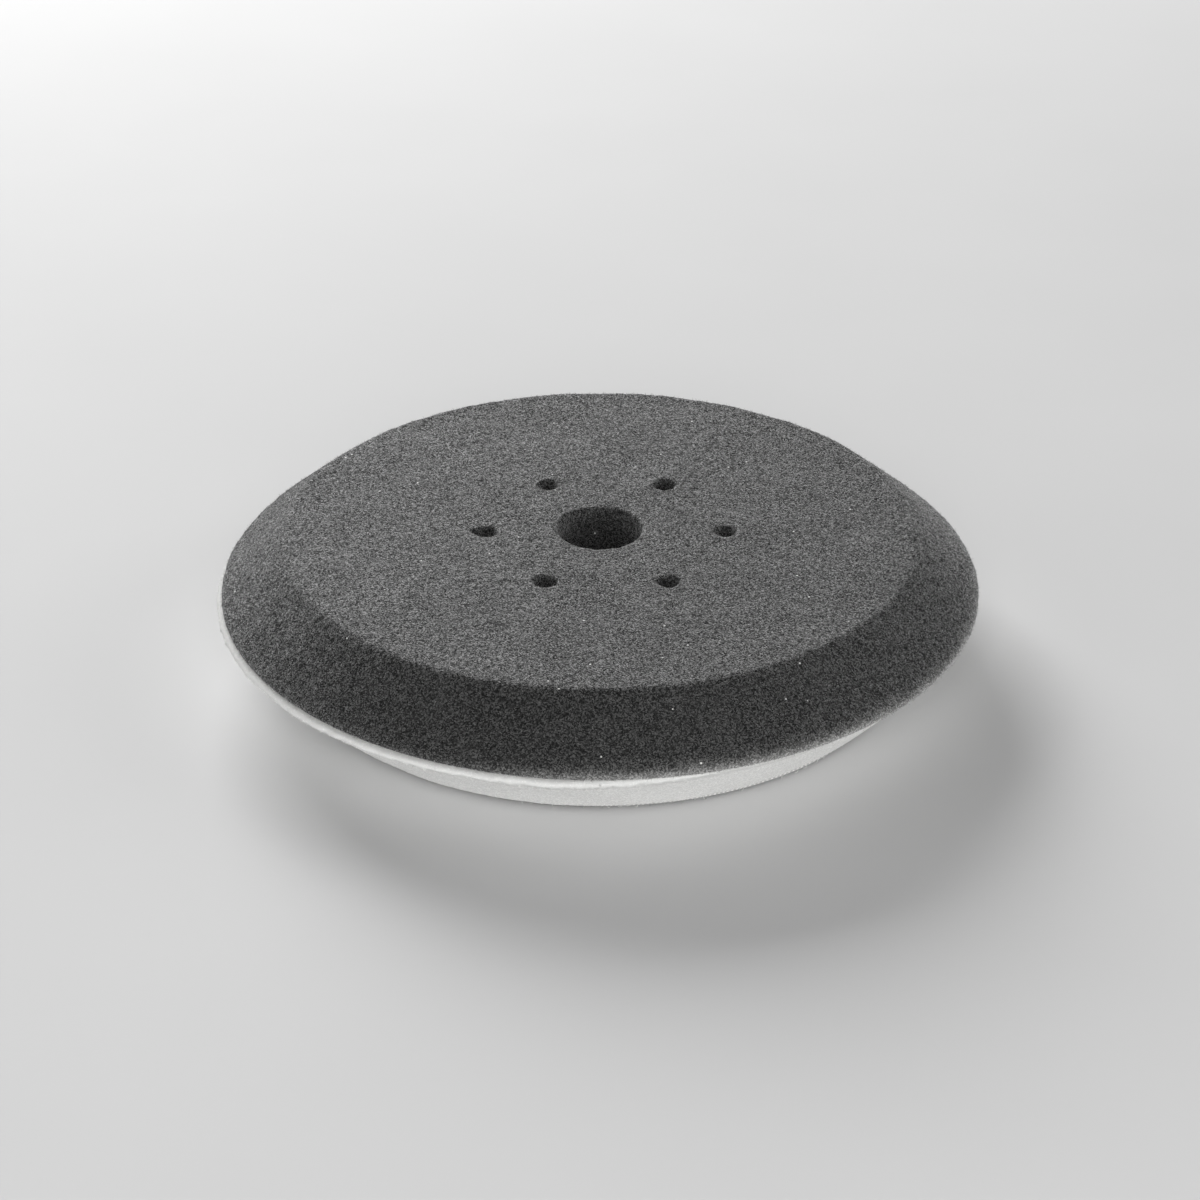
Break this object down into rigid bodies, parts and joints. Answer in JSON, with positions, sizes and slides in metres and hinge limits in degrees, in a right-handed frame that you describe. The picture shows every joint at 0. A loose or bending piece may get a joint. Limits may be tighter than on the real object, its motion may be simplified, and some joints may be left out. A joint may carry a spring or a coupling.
{
  "type": "polishing pad",
  "caption": "Round layered foam polishing pad with a bevelled flared rim, a centre hole, small air vents and a hook-and-loop backing.",
  "frame": {"origin": "centre of the flat loop face that meets the backing plate, at the bottom of the pad", "axes": "+Z out of the working face along the pad's axis, +X through one vent of the ring, +Y across it"},
  "size_m": [0.18, 0.18, 0.0318],
  "materials": {
    "face_foam": "matt dark grey open-cell polyurethane foam, cut face",
    "support_foam": "matt pale grey fine-cell polyurethane foam, skived smooth",
    "adhesive_film": "translucent hot-melt adhesive web",
    "loop_fabric": "brushed loop knit with a short nap"
  },
  "bodies": {
    "root": {"face_foam": "face_foam", "lamination_film": "adhesive_film", "support_foam": "support_foam", "backing_film": "adhesive_film", "loop_backing": "loop_fabric"}
  },
  "joints": []
}
